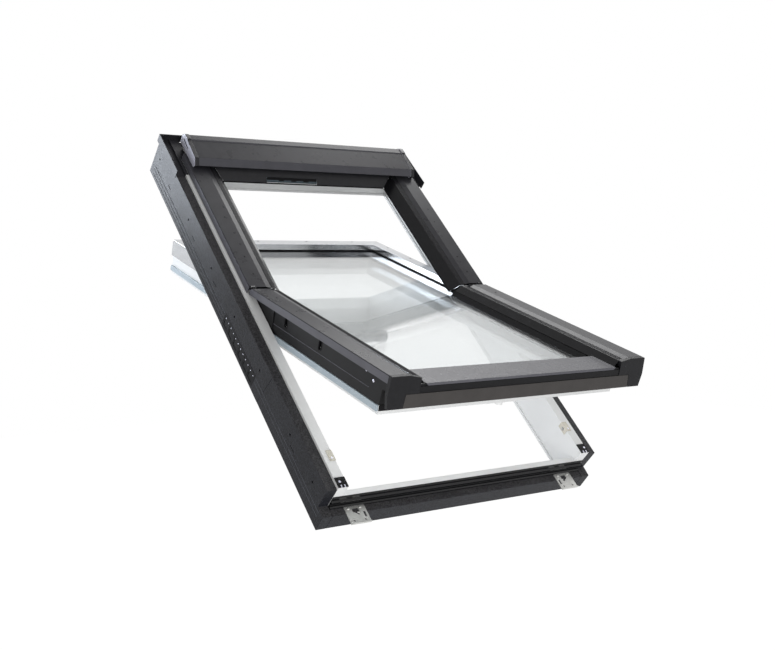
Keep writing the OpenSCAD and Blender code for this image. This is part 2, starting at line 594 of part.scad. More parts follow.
module sash_screws() color([0.7, 0.7, 0.72]) in_sash() {
    both() rod_x(-hinge_l + 45, -shell_d + 24, shell_head, x_shell + plate_t, x_shell + plate_t + shell_rise);
    both() rod_x(-lock_s - 32, -glass_n - 8, shell_head - 0.2, x_shell, x_shell + shell_rise);
    both() rod_n(x_cov - 26, -hinge_l + 11, small_head, 0, small_rise);
    both() for (s = [rail_screw / 2 : rail_screw : sash_top - rail_screw / 2])
        rod_n(x_shell - 9, s, small_head, -rail_n, -rail_n + small_rise);
    for (i = [0 : 3])
        rod_n((x_rail - 58) * (2 * i / 3 - 1), sash_top - 10, small_head, -rail_n, -rail_n + small_rise);
}

base_l = 45;
base_t = 2.5;
lever_t = 6;
lever_w = 14;
lever_n = sash_d + base_t + 0.5;
module handle_base() color([0.85, 0.86, 0.87]) in_sash() difference() {
    box([-base_l, -gear_s - 10, -sash_d - base_t], [base_l, -gear_s + 16, -sash_d]);
    rod_n(0, -gear_s, bolt_r + 1, -sash_d - base_t - 1, -sash_d + 1);
}
// Flat lever with its spindle and the pinion at the spindle's inner end
module handle() color([0.85, 0.86, 0.87]) in_sash() {
    rod_n(0, -gear_s, 9, -lever_n - lever_t, -lever_n);
    rod_n(0, -gear_s, bolt_r, -lever_n - 1, -lock_n - 4);
    rod_n(0, -gear_s, pinion_r, -lock_n - 4, -lock_n + 4);
    box([-lever_w / 2, -gear_s, -lever_n - lever_t],
        [lever_w / 2, -gear_s + lever_l - lever_w / 2, -lever_n]);
    rod_n(0, -gear_s + lever_l - lever_w / 2, lever_w / 2, -lever_n - lever_t, -lever_n);
}
x_bolt = x_shell - 1;
// Bar that carries a lock bolt, beside the pinion at s = a
module lock_bar(a) {
    box([-20, a - 2.5, -lock_n - 3], [x_rail + 20, a + 2.5, -lock_n + 3]);
    box([x_rail + 9, min(a - 2.5, -lock_s - 5), -lock_n - 3], [x_rail + 20, -lock_s + 5, -lock_n + 3]);
    rod_x(-lock_s, -lock_n, bolt_r, x_rail + 10, x_bolt);
}
module lock_bar_right() color([0.66, 0.66, 0.68]) in_sash() lock_bar(-gear_s + rack_s);
module lock_bar_left() color([0.66, 0.66, 0.68]) in_sash() left() lock_bar(-gear_s - rack_s);

frame_profile();
insulation_left_upper();
insulation_left_lower();
insulation_right_upper();
insulation_right_lower();
insulation_top();
insulation_bottom();
fixing_plate_left();
fixing_plate_right();
fixing_rivets();
frame_cover_left();
frame_cover_right();
frame_cover_gasket();
hood();
hood_cap_left();
hood_cap_right();
head_strip();
head_catch();
corner_channel_left();
corner_channel_right();
sill_profile();
bracket_left();
bracket_right();
bracket_screws();
striker_left();
striker_right();
striker_screws();
corner_piece_left();
corner_piece_right();
corner_fasteners();
frame_hinge_left();
frame_hinge_right();
frame_cover_screws();
sash_profile();
sash_upper_rails();
sash_shell_left();
sash_shell_right();
sash_bottom_shell();
glass_outer();
glass_inner();
glass_spacer();
glazing_gasket();
sash_cover_left();
sash_cover_right();
sash_cover_gasket();
bottom_cover();
recess_strip();
front_panel();
end_cap_left();
end_cap_right();
side_seals();
bottom_seal();
sash_hinge_left();
sash_hinge_right();
hinge_side_plates();
sash_screws();
handle_base();
handle();
lock_bar_left();
lock_bar_right();
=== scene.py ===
# %% [markdown]
# # A roof window that pivots about its middle
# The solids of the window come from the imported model, already at their real size and place.
# This lesson dresses them: edges that catch the light, ribs, screw heads, seals and finishes.
# The window could be modelled afresh, but then what is seen and what moves could drift apart.
# Everything is in metres. `x` runs across the roof, and the roof rises at 45 degrees.

# %% Load the frame
import json
import math

import bmesh
import bpy
from mathutils import Matrix, Vector

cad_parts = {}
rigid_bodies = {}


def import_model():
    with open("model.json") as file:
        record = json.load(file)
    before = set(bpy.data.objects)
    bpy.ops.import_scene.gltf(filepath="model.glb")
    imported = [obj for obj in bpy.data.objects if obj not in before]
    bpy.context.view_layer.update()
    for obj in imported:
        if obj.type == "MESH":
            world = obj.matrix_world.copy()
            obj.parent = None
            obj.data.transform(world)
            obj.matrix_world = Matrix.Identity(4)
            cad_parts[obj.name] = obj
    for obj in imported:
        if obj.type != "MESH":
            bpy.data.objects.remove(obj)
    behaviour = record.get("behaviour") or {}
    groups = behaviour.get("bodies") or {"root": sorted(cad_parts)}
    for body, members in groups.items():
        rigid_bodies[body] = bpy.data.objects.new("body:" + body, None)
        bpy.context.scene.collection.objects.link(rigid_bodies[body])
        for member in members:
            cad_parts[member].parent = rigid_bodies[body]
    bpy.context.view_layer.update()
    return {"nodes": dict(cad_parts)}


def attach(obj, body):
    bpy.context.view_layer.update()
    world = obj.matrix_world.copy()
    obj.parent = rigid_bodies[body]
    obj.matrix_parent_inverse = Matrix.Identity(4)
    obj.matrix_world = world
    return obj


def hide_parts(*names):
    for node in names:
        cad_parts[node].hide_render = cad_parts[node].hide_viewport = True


for old in list(bpy.data.objects):
    bpy.data.objects.remove(old)
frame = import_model()
nodes = frame["nodes"]

# %% [markdown]
# ## Two drawing boards
# A window is easier to think about flat: across the roof, up the slope, and out of the roof.
# One matrix lays that drawing board on the roof for the frame. A second one tilts it about
# the pivot for the sash, which stands open by 28 degrees. Sizes on the boards are millimetres,
# and a place on a board is written (x, s, n): across, up the slope, and outwards.

# %% Places on the roof and on the sash
PITCH = math.radians(45)
OPEN_ANGLE = math.radians(28)
PIVOT_UP, PIVOT_OUT, PIVOT_DROP = 10.4, 23.7, 4.0
SIDES = (-1.0, 1.0)
ROOF = Matrix.Rotation(PITCH, 4, "X")
ON_FRAME = Matrix.Scale(0.001, 4) @ ROOF
ON_SASH = (ON_FRAME @ Matrix.Translation((0, PIVOT_UP, PIVOT_OUT))
           @ Matrix.Rotation(-OPEN_ANGLE, 4, "X") @ Matrix.Translation((0, 0, PIVOT_DROP)))
BOARD = {"frame": ON_FRAME, "sash": ON_SASH}
outwards = (ON_SASH.to_3x3() @ Vector((0, 0, 1))).normalized()
print("sash outward direction:", [round(c, 3) for c in outwards])

# %% [markdown]
# ## Camera
# The photograph looks almost level, from the lower left of the window. The camera's place and
# direction were solved from the window's own corners, so no lens shift is needed. They are
# written on the frame's drawing board, in metres.

# %% Camera at the photograph's viewing angle
EYE = Vector((-1.5713, -1.6125, 1.6645))
AHEAD = Vector((0.5720, 0.5509, -0.6078))
ABOVE = Vector((0.0361, 0.7233, 0.6896))
LENS, SENSOR = 50.76, 36

ahead = (ROOF.to_3x3() @ AHEAD).normalized()
above = (ROOF.to_3x3() @ ABOVE).normalized()
across = ahead.cross(above).normalized()
turn = Matrix((across, across.cross(ahead), -ahead)).transposed().to_4x4()
camera = bpy.data.objects.new("camera", bpy.data.cameras.new("camera"))
camera.data.lens = LENS
camera.data.sensor_width = SENSOR
camera.data.sensor_fit = "HORIZONTAL"
camera.matrix_world = Matrix.Translation(ROOF @ EYE) @ turn
bpy.context.collection.objects.link(camera)
scene = bpy.context.scene
scene.camera = camera
scene.view_settings.view_transform = "Standard"
print("camera at", [round(c, 3) for c in ROOF @ EYE])

# %% [markdown]
# ## Lamps
# A large panel high on the right lights the flats and draws the pale strips along the folds.
# A panel behind on the left and a narrow lamp near the upper corner catch the side of the
# insulation and fade down it. A weak one in front opens the shadows. Point lamps would give
# hard spots on the coats, so all of them are square panels.

# %% Four soft boxes
COOL, COOLER = (0.86, 0.92, 1), (0.84, 0.91, 1)


def soft_box(name, place, target, size, watts, tint=(1, 1, 1), spread=180):
    """A square panel of light at a place, facing a target."""
    lamp = bpy.data.lights.new(name, "AREA")
    lamp.size = size
    lamp.energy = watts
    lamp.color = tint
    lamp.spread = math.radians(spread)
    holder = bpy.data.objects.new(name, lamp)
    holder.location = place
    holder.visible_camera = False
    holder.rotation_euler = (Vector(target) - Vector(place)).to_track_quat("-Z", "Y").to_euler()
    bpy.context.collection.objects.link(holder)


soft_box("right_panel", (1.8, 1.25, 2.75), (0, 0, 0), 1.6, 42)
soft_box("left_back", (-1.7, 3.1, 1.25), (-0.39, 0.2, 0.2), 1.4, 28, COOL)
soft_box("left_lamp", (-1.05, 1.2, 0.62), (-0.39, 0.36, 0.42), 0.7, 2.4, COOLER, 60)
soft_box("front_fill", (-1.0, -2.5, -0.7), (0, -0.3, -0.1), 1.3, 23)

# %% [markdown]
# ## White room and floor
# The room is white to the camera and to reflections, but gives the surfaces much less light,
# so dark paint stays dark. A Light Path node tells the two apart. The floor lies well below
# and keeps a faint shadow.

# %% A room that is white to the eye
ROOM_LIGHT = 0.50


def white_to_the_eye(tree, strength_else):
    """A number that is 1 for camera, glossy and transmission rays and lower for the rest."""
    path = tree.nodes.new("ShaderNodeLightPath")
    total = path.outputs["Is Camera Ray"]
    for kind in ("Is Glossy Ray", "Is Transmission Ray"):
        most = tree.nodes.new("ShaderNodeMath")
        most.operation = "MAXIMUM"
        tree.links.new(total, most.inputs[0])
        tree.links.new(path.outputs[kind], most.inputs[1])
        total = most.outputs[0]
    spread = tree.nodes.new("ShaderNodeMapRange")
    spread.inputs["To Min"].default_value = strength_else
    spread.inputs["To Max"].default_value = 1.0
    tree.links.new(total, spread.inputs["Value"])
    return spread.outputs["Result"]


room = bpy.data.worlds.new("white_room")
scene.world = room
room.use_nodes = True
sky = room.node_tree.nodes["Background"]
sky.inputs["Color"].default_value = (1, 1, 1, 1)
room.node_tree.links.new(white_to_the_eye(room.node_tree, ROOM_LIGHT), sky.inputs["Strength"])
print("room:", room.name)

# %% A floor that keeps the shadow
FLOOR_Z, FLOOR_HALF = -1.5, 9
GLOW, GLOW_SHARE = 1.07, 0.90

corners = [(-1, -1), (1, -1), (1, 1), (-1, 1)]
floor_mesh = bpy.data.meshes.new("floor")
floor_mesh.from_pydata([(FLOOR_HALF * x, FLOOR_HALF * y, FLOOR_Z) for x, y in corners], [], [range(4)])
floor = bpy.data.objects.new("floor", floor_mesh)
bpy.context.collection.objects.link(floor)
pale = bpy.data.materials.new("pale_floor")
pale.use_nodes = True
tree = pale.node_tree
shade = tree.nodes["Principled BSDF"]
shade.inputs["Base Color"].default_value = (0.9, 0.9, 0.9, 1)
shade.inputs["Roughness"].default_value = 0.8
glow = tree.nodes.new("ShaderNodeEmission")
glow.inputs["Strength"].default_value = GLOW
weight = tree.nodes.new("ShaderNodeMath")
weight.operation = "MULTIPLY"
weight.inputs[1].default_value = GLOW_SHARE
blend = tree.nodes.new("ShaderNodeMixShader")
tree.links.new(white_to_the_eye(tree, 0.0), weight.inputs[0])
tree.links.new(weight.outputs[0], blend.inputs["Fac"])
tree.links.new(shade.outputs["BSDF"], blend.inputs[1])
tree.links.new(glow.outputs["Emission"], blend.inputs[2])
tree.links.new(blend.outputs["Shader"], tree.nodes["Material Output"].inputs["Surface"])
floor_mesh.materials.append(pale)
print("floor at", FLOOR_Z)

# %% [markdown]
# ## Finishes
# Each finish is one Principled shader fed by a few textures on Object coordinates, so the grain
# has a real size on every piece. Painted pictures would need unwrapped surfaces, which the
# solids don't have. `finish` mixes two close colours with noise, varies the gloss a little, and
# adds a fine bump. What is special to one finish is added after it.

# %% One recipe for the finishes
def finish(name, light, dark, rough, metal=0.0, grain=60.0, bump=0.1, bump_scale=900.0, spread=0.06,
           stretch=(1, 1, 1), shine=0.5):
    """A material that wanders between two colours and has a fine relief."""
    mat = bpy.data.materials.new(name)
    mat.use_nodes = True
    tree = mat.node_tree
    shader = tree.nodes["Principled BSDF"]
    shader.inputs["Metallic"].default_value = metal
    shader.inputs["Specular IOR Level"].default_value = shine
    coords = tree.nodes.new("ShaderNodeTexCoord")
    lay = tree.nodes.new("ShaderNodeMapping")
    lay.inputs["Scale"].default_value = stretch
    tree.links.new(coords.outputs["Object"], lay.inputs["Vector"])
    cloud = tree.nodes.new("ShaderNodeTexNoise")
    cloud.inputs["Scale"].default_value = grain
    cloud.inputs["Detail"].default_value = 4
    tree.links.new(lay.outputs["Vector"], cloud.inputs["Vector"])
    ramp = tree.nodes.new("ShaderNodeValToRGB")
    for stop, place, colour in zip(ramp.color_ramp.elements, (0.3, 0.7), (dark, light)):
        stop.position = place
        stop.color = (*colour, 1)
    tree.links.new(cloud.outputs["Fac"], ramp.inputs["Fac"])
    tree.links.new(ramp.outputs["Color"], shader.inputs["Base Color"])
    gloss = tree.nodes.new("ShaderNodeMapRange")
    gloss.inputs["To Min"].default_value = rough - spread
    gloss.inputs["To Max"].default_value = rough + spread
    tree.links.new(cloud.outputs["Fac"], gloss.inputs["Value"])
    tree.links.new(gloss.outputs["Result"], shader.inputs["Roughness"])
    fine = tree.nodes.new("ShaderNodeTexNoise")
    fine.inputs["Scale"].default_value = bump_scale
    tree.links.new(lay.outputs["Vector"], fine.inputs["Vector"])
    relief = tree.nodes.new("ShaderNodeBump")
    relief.inputs["Strength"].default_value = bump
    relief.inputs["Distance"].default_value = 0.0004
    tree.links.new(fine.outputs["Fac"], relief.inputs["Height"])
    tree.links.new(relief.outputs["Normal"], shader.inputs["Normal"])
    return mat


def level(value):
    """One grey as a colour, with the faint lilac of the real coats."""
    return (value * 0.98, value * 0.975, value * 1.12)


print("a grey of 0.04:", [round(c, 4) for c in level(0.04)])

# %% [markdown]
# ## Coats on the sheet metal
# The covers are aluminium sheet with an anthracite powder coat. Sheets that stand at other
# angles to the light look paler or darker than the flats, so each kind gets its own level of the
# one coat: painted light on the skirts, on the hood's down-slope face and on the lower cover, and
# painted shade that makes the inner slopes nearly black. The shells of the sash are nearly black.

# %% Coats
SPRAYED = {"grain": 30, "bump_scale": 1400}
cover_coat = finish("anthracite_coat", level(0.040), level(0.033), 0.29, bump=0.05, shine=0.12, **SPRAYED)
# Paler copies of the coat: painted light on the skirts, the hood's down-slope face and the lower cover.
skirt_painted_light_coat = finish("skirt_painted_light_coat", level(0.11), level(0.095), 0.34, bump=0.1, shine=0.2, **SPRAYED)
hood_slope_painted_light_coat = finish("hood_slope_painted_light_coat", level(0.085), level(0.074), 0.34, bump=0.05, shine=0.2, **SPRAYED)
lower_painted_light = finish("lower_cover_painted_light_coat", level(0.108), level(0.096), 0.27, bump=0.03, shine=0.2, **SPRAYED)
rib_coat = finish("rib_coat", level(0.030), level(0.024), 0.45, grain=60, bump=0.05, shine=0.06)
channel_coat = finish("channel_coat", level(0.034), level(0.028), 0.42, grain=40, bump=0.1, shine=0.1)
# A nearly black copy of the coat: painted shade on the inner slopes beside the glass and on the ramps.
inner_slope_painted_shade = finish("inner_painted_shade_coat", level(0.010), level(0.007), 0.24, grain=30, bump=0.05, shine=0.16)
shell_coat = finish("black_coat", level(0.010), level(0.006), 0.36, grain=40, bump=0.1, shine=0.14)
panel_coat = finish("front_panel_coat", (0.058, 0.053, 0.051), (0.048, 0.044, 0.042), 0.34, grain=30,
                    bump=0.06, shine=0.2)
catch_coat = finish("catch_coat", (0.060, 0.085, 0.10), (0.048, 0.068, 0.08), 0.36, grain=40, bump=0.1,
                    shine=0.3)
print("coats:", [mat.name for mat in bpy.data.materials if mat.name.endswith("coat")])

# %% [markdown]
# ## Plastics, rubber and bare metal
# Moulded plastic has a fine leathery grain and rubber a dull one. The white profile is smooth.
# Drawn aluminium has long soft streaks, which a stretched noise gives. Screws, plates and
# strikers are zinc plated, bright or blackened.

# %% Plastics, rubber and metals
MOULDED = {"grain": 80, "bump": 0.25, "bump_scale": 1600}
cap_plastic = finish("cap_plastic", level(0.014), level(0.010), 0.4, shine=0.16, **MOULDED)
dull_plastic = finish("dull_black_plastic", level(0.009), level(0.006), 0.45, shine=0.15, **MOULDED)
gloss_plastic = finish("glossy_black_plastic", level(0.007), level(0.005), 0.16, grain=80, bump=0.05,
                       shine=0.35)
hood_end_plastic = finish("hood_end_plastic", level(0.022), level(0.017), 0.34, grain=60, bump=0.12,
                          bump_scale=1600, shine=0.25)
# The sides of the hood's end caps are painted light: a pale copy of the cap's dark plastic.
cap_side_painted_light = finish("hood_cap_side_painted_light", level(0.40), level(0.35), 0.4, grain=60, bump=0.1, bump_scale=1600,
                   shine=0.3)
white_profile = finish("white_profile", (0.86, 0.865, 0.86), (0.82, 0.825, 0.825), 0.34, grain=8, bump=0.03,
                       bump_scale=700)
soft_black = finish("soft_black_rubber", level(0.006), level(0.004), 0.6, grain=90, bump=0.2, bump_scale=1200,
                    shine=0.12)
bead_grey = finish("bead_grey", level(0.13), level(0.10), 0.5, grain=200, bump=0.2, shine=0.2)
spacer_grey = finish("spacer_grey", level(0.045), level(0.035), 0.5, grain=60, bump=0.1, shine=0.2)
mill_aluminium = finish("mill_aluminium", (0.53, 0.54, 0.555), (0.47, 0.48, 0.495), 0.2, 1.0, grain=6,
                        bump=0.0, spread=0.04, stretch=(6, 1, 6))
zinc_plate = finish("zinc_plate", level(0.62), level(0.48), 0.32, 1.0, grain=25, bump=0.1)
black_zinc = finish("black_zinc", level(0.020), level(0.012), 0.4, 0.3, grain=40, bump=0.1, shine=0.2)
bright_head = finish("bright_screw", level(0.80), level(0.66), 0.26, 1.0, grain=60, bump=0.05)
dark_head = finish("blackened_screw", level(0.008), level(0.005), 0.45, grain=60, bump=0.05, shine=0.1)
striker_zinc = finish("striker_zinc", (0.66, 0.63, 0.55), (0.56, 0.53, 0.46), 0.38, 0.55, grain=30, bump=0.1)
print("finishes so far:", len(bpy.data.materials))

# %% [markdown]
# ## Foam, spangle, seal and glass
# Moulded foam shows its beads: a Voronoi pattern of cells a few millimetres wide gives the bump
# and a slight speckle. Galvanised sheet gets larger cells of different gloss. The side seal is a
# pale rubber that lets some light in, and the panes transmit almost all of it.

# %% Finishes with a pattern of their own
FOAM_CELLS, SPANGLE_CELLS = 420, 180


def add_cells(mat, scale, bump, to_colour=0.0, to_gloss=False):
    """Cells in the relief of a finish, and in its colour or its gloss."""
    tree = mat.node_tree
    cells = tree.nodes.new("ShaderNodeTexVoronoi")
    cells.inputs["Scale"].default_value = scale
    tree.links.new(tree.nodes["Texture Coordinate"].outputs["Object"], cells.inputs["Vector"])
    relief = tree.nodes["Bump"]
    relief.inputs["Strength"].default_value = bump
    relief.inputs["Distance"].default_value = 0.0008
    tree.links.new(cells.outputs["Distance"], relief.inputs["Height"])
    grey = tree.nodes.new("ShaderNodeRGBToBW")
    tree.links.new(cells.outputs["Color"], grey.inputs["Color"])
    if to_colour:
        tint = tree.nodes.new("ShaderNodeMix")
        tint.data_type = "RGBA"
        tint.blend_type = "SOFT_LIGHT"
        tint.inputs["Factor"].default_value = to_colour
        tree.links.new(tree.nodes["Color Ramp"].outputs["Color"], tint.inputs["A"])
        tree.links.new(grey.outputs["Val"], tint.inputs["B"])
        tree.links.new(tint.outputs["Result"], tree.nodes["Principled BSDF"].inputs["Base Color"])
    if to_gloss:
        tree.links.new(grey.outputs["Val"], tree.nodes["Map Range"].inputs["Value"])


def adjust(mat, **values):
    """Set more inputs of a finish's shader. An underscore stands for a space."""
    for label, value in values.items():
        mat.node_tree.nodes["Principled BSDF"].inputs[label.replace("_", " ")].default_value = value


foam = finish("insulation_foam", (0.0205, 0.0215, 0.0265), (0.0135, 0.0142, 0.0178), 0.33, grain=18,
              shine=0.08)
add_cells(foam, FOAM_CELLS, 0.35, to_colour=0.8)
foam_line = finish("moulded_line", (0.105, 0.110, 0.125), (0.075, 0.080, 0.092), 0.5, grain=160, bump=0.2,
                   shine=0.2)
# The outer face of the foam: painted light, a paler copy of the foam.
foam_outer_painted_light = finish("foam_outer_face_painted_light", (0.056, 0.055, 0.058), (0.042, 0.041, 0.044), 0.4, grain=18, shine=0.1)
add_cells(foam_outer_painted_light, FOAM_CELLS, 0.3, to_colour=0.6)
galvanised = finish("galvanised_sheet", (0.66, 0.66, 0.64), (0.52, 0.52, 0.50), 0.36, 0.9, grain=30)
add_cells(galvanised, SPANGLE_CELLS, 0.12, to_gloss=True)
seal_rubber = finish("pale_seal", (0.46, 0.53, 0.57), (0.38, 0.45, 0.50), 0.4, grain=20, bump=0.05)
adjust(seal_rubber, Subsurface_Weight=0.3, Subsurface_Radius=(0.004, 0.004, 0.004))
pane = finish("clear_pane", (0.92, 0.935, 0.937), (0.905, 0.925, 0.928), 0.02, grain=2, bump=0.0, spread=0.01)
adjust(pane, Transmission_Weight=1.0, IOR=1.45)
print("all finishes:", len(bpy.data.materials))

# %% [markdown]
# ## Dressing a solid
# Sheet metal, foam and plastic have no razor edges. A copy of a solid is welded, its flat
# triangles are joined, and a small bevel is laid on each fold, so that the folds catch the light.
# Modelling each piece again would give the same form with more work and more room for error.
# The copy takes the solid's place and rides on the same body.

# %% A bevelled copy of a solid
WELD = 1e-6
FLAT = math.radians(0.5)
ROUNDS = 2
SHARP, SHALLOW = 25, 4
made = []


def to_piece(name, mesh, body, mat=None):
    """An object from a finished mesh, on the body that it rides on."""
    piece = bpy.data.objects.new(name, mesh)
    bpy.context.collection.objects.link(piece)
    if mat:
        mesh.materials.clear()
        mesh.materials.append(mat)
    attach(piece, body)
    made.append(name)
    return piece


def welded(node):
    """A copy of a solid's mesh, welded, with its flat triangles joined."""
    mesh = nodes[node].data.copy()
    shape = bmesh.new()
    shape.from_mesh(mesh)
    bmesh.ops.remove_doubles(shape, verts=shape.verts, dist=WELD)
    bmesh.ops.dissolve_limit(shape, angle_limit=FLAT, verts=shape.verts, edges=shape.edges)
    for face in shape.faces:
        face.smooth = True
    shape.to_mesh(mesh)
    shape.free()
    for layer in list(mesh.attributes):
        if layer.name in ("custom_normal", "sharp_edge"):
            mesh.attributes.remove(layer)
    return mesh


def bevelled(mesh, edge, fold):
    """The mesh with a round of `edge` millimetres on each fold of more than `fold` degrees."""
    raw = bpy.data.objects.new("raw", mesh)
    bpy.context.collection.objects.link(raw)
    round_off = raw.modifiers.new("edge", "BEVEL")
    round_off.width = edge / 1000
    round_off.segments = ROUNDS
    round_off.limit_method = "ANGLE"
    round_off.angle_limit = math.radians(fold)
    round_off.harden_normals = True
    ready = bpy.data.meshes.new_from_object(raw.evaluated_get(bpy.context.evaluated_depsgraph_get()))
    bpy.data.objects.remove(raw)
    return ready


def dressed(node, body, mat, edge, fold=SHARP, others=()):
    """A solid's bevelled copy. `others` pairs more finishes with tests of where they go."""
    ready = bevelled(welded(node), edge, fold)
    piece = to_piece(node + "_shown", ready, body, mat)
    for other, where in others:
        ready.materials.append(other)
        flat = BOARD[body].inverted()
        for face in ready.polygons:
            if where(flat @ face.center, (flat.to_3x3() @ face.normal).normalized()):
                face.material_index = len(ready.materials) - 1
    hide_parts(node)


def both(name):
    """The names of the left and the right one of a pair."""
    return (name + "_left", name + "_right")


print("solids to choose from:", len(nodes))

# %% [markdown]
# ## Covers, hood and channels
# Folded sheet covers keep the rain off: one on each side of the frame and of the sash, a hood
# over the head, and one across the sash's lower end. Channels close the upper corners. The folds
# of the sheet are shallow, so even a few degrees get a bevel. A test on the drawing board picks
# the faces that take a paler copy of the coat as painted light and a darker one as painted shade,
# which is shorter than cutting the sheet into pieces.

# %% Sheet metal
FLAT_EDGE, SIDE_EDGE = 298.2, 330


def inside_or_ramp(mid, normal):
    """On the slope beside the glass, or on the ramp at the upper end."""
    return abs(mid.x) < FLAT_EDGE or normal.y > 0.3


def on_side(mid, normal):
    """On the outer sides, which stand upright on the roof."""
    return abs(normal.x) > 0.9 and abs(mid.x) > SIDE_EDGE


def facing_down_slope(mid, normal):
    """On an outer face that leans down the slope."""
    return normal.y < -0.5 and normal.z > 0.5


for body in ("frame", "sash"):
    for node in both(body + "_cover"):
        dressed(node, body, cover_coat, 0.7, SHALLOW, ((skirt_painted_light_coat, on_side), (inner_slope_painted_shade, inside_or_ramp)))
dressed("hood", "frame", cover_coat, 0.7, SHALLOW, ((hood_slope_painted_light_coat, facing_down_slope),))
dressed("bottom_cover", "sash", lower_painted_light, 0.7, SHALLOW)
for node in both("hood_cap"):
    # The outer sides of the caps get the pale painted light.
    dressed(node, "frame", hood_end_plastic, 1.2, others=((cap_side_painted_light, on_side),))
for node in both("corner_channel"):
    dressed(node, "frame", channel_coat, 0.6)
print("sheet pieces:", len(made))

# %% [markdown]
# ## Insulation and white profiles
# Blocks of moulded foam surround the frame and keep the cold out. Their outer face is painted
# light: a paler copy of the foam, for the light that falls on it from above. Frame and sash are
# welded from extruded white profiles.

# %% Foam and profiles
BLOCKS = ("left_upper", "left_lower", "right_upper", "right_lower", "top", "bottom")


def facing_out(mid, normal):
    """On a face that looks out of the roof."""
    return normal.z > 0.8


for block in BLOCKS:
    dressed("insulation_" + block, "frame", foam, 1.2, others=((foam_outer_painted_light, facing_out),))
dressed("frame_profile", "frame", white_profile, 1.2)
dressed("sash_profile", "sash", white_profile, 1.5)
print("dressed so far:", len(made))

# %% [markdown]
# ## Sash, sill and fittings
# Bright rails carry the upper half of the sash, and dark shells and end caps its lower half. At
# the sill lie a glossy ribbed profile, two fixing brackets, the strikers and the corner pieces.
# They need nothing but a bevel of their own size and a finish, so they are one table: body,
# finish, bevel in millimetres, the fold that it starts from, and the solids.

# %% Rails, shells, sill, fittings, seals and handle
FITTINGS = (
    ("sash", mill_aluminium, 0.9, SHARP, ("sash_upper_rails",)),
    ("sash", shell_coat, 0.9, SHARP, both("sash_shell") + ("sash_bottom_shell",)),
    ("sash", cap_plastic, 1.4, SHARP, both("end_cap")),
    ("sash", panel_coat, 0.8, SHARP, ("front_panel",)),
    ("sash", dull_plastic, 0.4, SHARP, ("recess_strip",)),
    ("frame", hood_end_plastic, 0.6, SHALLOW, ("head_strip",)),
    ("frame", catch_coat, 0.5, SHARP, ("head_catch",)),
    ("frame", gloss_plastic, 0.8, SHARP, ("sill_profile",)),
    ("frame", galvanised, 0.4, SHARP, both("bracket")),
    ("frame", striker_zinc, 0.35, SHARP, both("striker")),
    ("frame", dull_plastic, 0.5, SHARP, both("corner_piece")),
    ("sash", seal_rubber, 1.2, SHARP, ("side_seals",)),
    ("sash", soft_black, 0.8, SHARP, ("bottom_seal",)),
    ("sash", dull_plastic, 0.6, SHARP, ("hinge_side_plates",)),
    ("handle", white_profile, 1.2, SHARP, ("handle",)),
    ("sash", white_profile, 0.8, SHARP, ("handle_base",)),
)
for body, mat, edge, fold, names in FITTINGS:
    for node in names:
        dressed(node, body, mat, edge, fold)
print("dressed pieces:", len(made))

# %% [markdown]
# ## Trees that repeat a piece
# Screws, ribs and beads are many copies of one small piece. They could be copied in a loop, but
# a Geometry Nodes tree says it once: a piece, its places, its turn and size, and its finish.
# One tree takes its places from points, the other from a count and a step.

# %% Two trees
COMMON = (("Piece", "Object"), ("Turn", "Vector"), ("Size", "Vector"), ("Finish", "Material"))
A_ROW = (("Count", "Int"), ("Start", "Vector"), ("Step", "Vector"))


def new_tree(name, inputs):
    """An empty tree with named inputs that ends in Realize Instances and Set Material."""
    tree = bpy.data.node_groups.new(name, "GeometryNodeTree")
    tree.interface.new_socket("Geometry", in_out="INPUT", socket_type="NodeSocketGeometry")
    for label, kind in inputs:
        tree.interface.new_socket(label, in_out="INPUT", socket_type="NodeSocket" + kind)
    tree.interface.new_socket("Geometry", in_out="OUTPUT", socket_type="NodeSocketGeometry")
    given = tree.nodes.new("NodeGroupInput")
    source = tree.nodes.new("GeometryNodeObjectInfo")
    place = tree.nodes.new("GeometryNodeInstanceOnPoints")
    solid = tree.nodes.new("GeometryNodeRealizeInstances")
    paint = tree.nodes.new("GeometryNodeSetMaterial")
    result = tree.nodes.new("NodeGroupOutput")
    tree.links.new(given.outputs["Piece"], source.inputs["Object"])
    tree.links.new(source.outputs["Geometry"], place.inputs["Instance"])
    tree.links.new(given.outputs["Turn"], place.inputs["Rotation"])
    tree.links.new(given.outputs["Size"], place.inputs["Scale"])
    tree.links.new(place.outputs["Instances"], solid.inputs["Geometry"])
    tree.links.new(solid.outputs["Geometry"], paint.inputs["Geometry"])
    tree.links.new(given.outputs["Finish"], paint.inputs["Material"])
    tree.links.new(paint.outputs["Geometry"], result.inputs["Geometry"])
    return tree, given, place


SET, given, place = new_tree("set_on_points", COMMON)
SET.links.new(given.outputs["Geometry"], place.inputs["Points"])
ROW, given, place = new_tree("set_in_a_row", COMMON + A_ROW)
line = ROW.nodes.new("GeometryNodeMeshLine")
ROW.links.new(given.outputs["Count"], line.inputs["Count"])
ROW.links.new(given.outputs["Start"], line.inputs["Start Location"])
ROW.links.new(given.outputs["Step"], line.inputs["Offset"])
ROW.links.new(line.outputs["Mesh"], place.inputs["Points"])
print("trees:", [tree.name for tree in bpy.data.node_groups])

# %% From a tree to a piece
def grow(tree, points, values):
    """The mesh that a tree makes on some points, in the millimetres of a drawing board."""
    dots = bpy.data.meshes.new("dots")
    dots.from_pydata(points, [], [])
    holder = bpy.data.objects.new("holder", dots)
    bpy.context.collection.objects.link(holder)
    maker = holder.modifiers.new("maker", "NODES")
    maker.node_group = tree
    values = {"Turn": (0.0, 0.0, 0.0), "Size": (1.0, 1.0, 1.0), **values}
    for socket in tree.interface.items_tree:
        if socket.in_out == "INPUT" and socket.name in values:
            maker[socket.identifier] = values[socket.name]
    mesh = bpy.data.meshes.new_from_object(holder.evaluated_get(bpy.context.evaluated_depsgraph_get()))
    bpy.data.objects.remove(holder)
    return mesh


